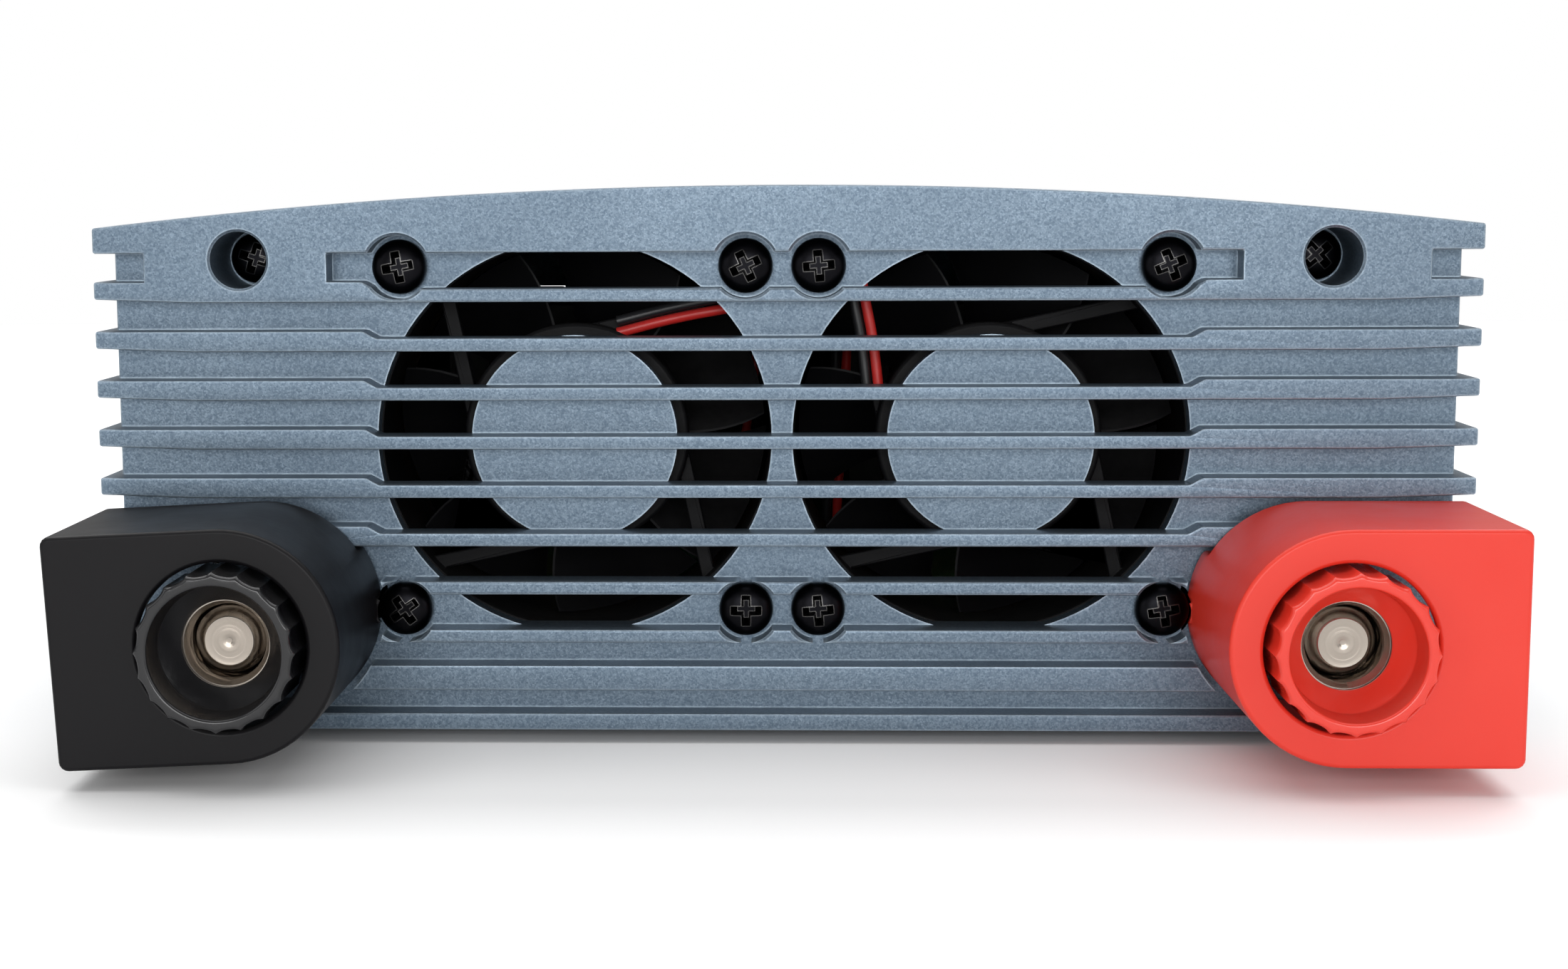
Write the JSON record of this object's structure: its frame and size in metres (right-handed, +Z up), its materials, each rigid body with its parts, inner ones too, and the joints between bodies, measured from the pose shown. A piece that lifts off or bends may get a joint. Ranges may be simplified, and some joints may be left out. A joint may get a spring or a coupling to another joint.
{
  "type": "power inverter",
  "caption": "Finned box inverter: fans and covered screw terminals at the DC end, sockets and a switch at the AC end.",
  "frame": {"origin": "on the ground, under the middle of the object's box", "axes": "+Z up; +Y from the DC end with the fans and terminals to the AC end; +X across, towards the positive terminal, so that +X is to the right when the DC end is faced"},
  "size_m": [0.198, 0.3638, 0.081],
  "materials": {
    "cast_paint": "blue-grey metallic powder coat with a fine speckle, satin, on die-cast aluminium",
    "case_paint": "blue-grey metallic coat over an extruded aluminium case, satin, with faint lengthwise die lines",
    "zinc_sheet": "zinc-plated sheet steel, dull",
    "black_screw": "black oxide over steel, slightly glossy, worn at the recess edges",
    "rubber_foot": "matt black rubber",
    "fan_plastic": "black glass-filled plastic",
    "lead_sleeve": "red and black wire insulation",
    "nickel": "warm bright nickel plating with turning marks",
    "red_plastic": "moulded red plastic, semi-gloss",
    "black_plastic": "moulded black plastic, semi-gloss",
    "socket_plastic": "moulded black plastic, satin",
    "light_lens": "green light lens",
    "clear_steel": "turned steel, clear zinc",
    "board": "green solder mask on glass-fibre board",
    "ferrite": "dark ferrite",
    "winding_tape": "amber winding tape over copper",
    "heat_sink": "plain extruded aluminium",
    "copper_bar": "plain copper strip",
    "capacitor_sleeve": "dark shrink sleeve with a bare aluminium top"
  },
  "bodies": {
    "root": {"ac_end_panel": "cast_paint", "ac_panel_screw_low_left": "black_screw", "ac_panel_screw_low_right": "black_screw", "ac_panel_screw_top_left": "black_screw", "ac_panel_screw_top_right": "black_screw", "ac_socket_left": "socket_plastic", "ac_socket_right": "socket_plastic", "base_plate": "zinc_sheet", "bulk_capacitor_left": "capacitor_sleeve", "bulk_capacitor_right": "capacitor_sleeve", "busbar_negative": "copper_bar", "busbar_positive": "copper_bar", "case_shell": "case_paint", "circuit_board": "board", "dc_end_panel": "cast_paint", "dc_panel_screw_low_left": "black_screw", "dc_panel_screw_low_right": "black_screw", "dc_panel_screw_top_left": "black_screw", "dc_panel_screw_top_right": "black_screw", "earth_screw": "clear_steel", "fan_frame_left": "fan_plastic", "fan_frame_right": "fan_plastic", "fan_lead_left": "lead_sleeve", "fan_lead_right": "lead_sleeve", "fan_screw_left_1": "black_screw", "fan_screw_left_2": "black_screw", "fan_screw_left_3": "black_screw", "fan_screw_left_4": "black_screw", "fan_screw_right_1": "black_screw", "fan_screw_right_2": "black_screw", "fan_screw_right_3": "black_screw", "fan_screw_right_4": "black_screw", "foot_ac_left": "rubber_foot", "foot_ac_right": "rubber_foot", "foot_dc_left": "rubber_foot", "foot_dc_right": "rubber_foot", "heat_sink_left": "heat_sink", "heat_sink_right": "heat_sink", "insulator_negative": "black_plastic", "insulator_positive": "red_plastic", "remote_port": "socket_plastic", "status_light": "light_lens", "stud_negative": "nickel", "stud_positive": "nickel", "switch_bezel": "socket_plastic", "transformer_core_left": "ferrite", "transformer_core_right": "ferrite", "transformer_winding_left": "winding_tape", "transformer_winding_right": "winding_tape"},
    "rotor_left": {"fan_rotor_left": "fan_plastic"},
    "rotor_right": {"fan_rotor_right": "fan_plastic"},
    "rocker": {"switch_rocker": "socket_plastic"},
    "washer_negative": {"washer_negative": "nickel"},
    "knob_negative": {"knob_negative": "black_plastic", "knob_insert_negative": "nickel"},
    "cover_negative": {"terminal_cover_negative": "black_plastic"},
    "washer_positive": {"washer_positive": "nickel"},
    "knob_positive": {"knob_positive": "red_plastic", "knob_insert_positive": "nickel"},
    "cover_positive": {"terminal_cover_positive": "red_plastic"}
  },
  "joints": [
    {"name": "fan_spin_left", "type": "hinge", "parent": "root", "child": "rotor_left", "pos_m": [-0.03025, -0.1256, 0.0445], "axis": [0, 1, 0], "continuous": true},
    {"name": "fan_spin_right", "type": "hinge", "parent": "root", "child": "rotor_right", "pos_m": [0.03025, -0.1256, 0.0445], "axis": [0, 1, 0], "continuous": true},
    {"name": "switch_rock", "type": "hinge", "parent": "root", "child": "rocker", "pos_m": [0.068, 0.1759, 0.048], "axis": [1, 0, 0], "range_deg": [0, 18]},
    {"name": "clamp_travel_negative", "type": "slide", "parent": "root", "child": "washer_negative", "axis": [0, -1, 0], "range_m": [-0.00202, 0.01002]},
    {"name": "knob_turn_negative", "type": "hinge", "parent": "washer_negative", "child": "knob_negative", "pos_m": [-0.0749, -0.1626, 0.0199], "axis": [0, -1, 0], "range_deg": [-480, 2400]},
    {"name": "cover_pull_negative", "type": "slide", "parent": "root", "child": "cover_negative", "axis": [0, -1, 0], "range_m": [0, 0.04]},
    {"name": "clamp_travel_positive", "type": "slide", "parent": "root", "child": "washer_positive", "axis": [0, -1, 0], "range_m": [-0.00202, 0.01002]},
    {"name": "knob_turn_positive", "type": "hinge", "parent": "washer_positive", "child": "knob_positive", "pos_m": [0.0749, -0.1626, 0.0199], "axis": [0, -1, 0], "range_deg": [-480, 2400]},
    {"name": "cover_pull_positive", "type": "slide", "parent": "root", "child": "cover_positive", "axis": [0, -1, 0], "range_m": [0, 0.04]}
  ],
  "couplings": [
    {"joint": "clamp_travel_negative", "follows": "knob_turn_negative", "m_per_rad": 0.00023873},
    {"joint": "clamp_travel_positive", "follows": "knob_turn_positive", "m_per_rad": 0.00023873}
  ]
}
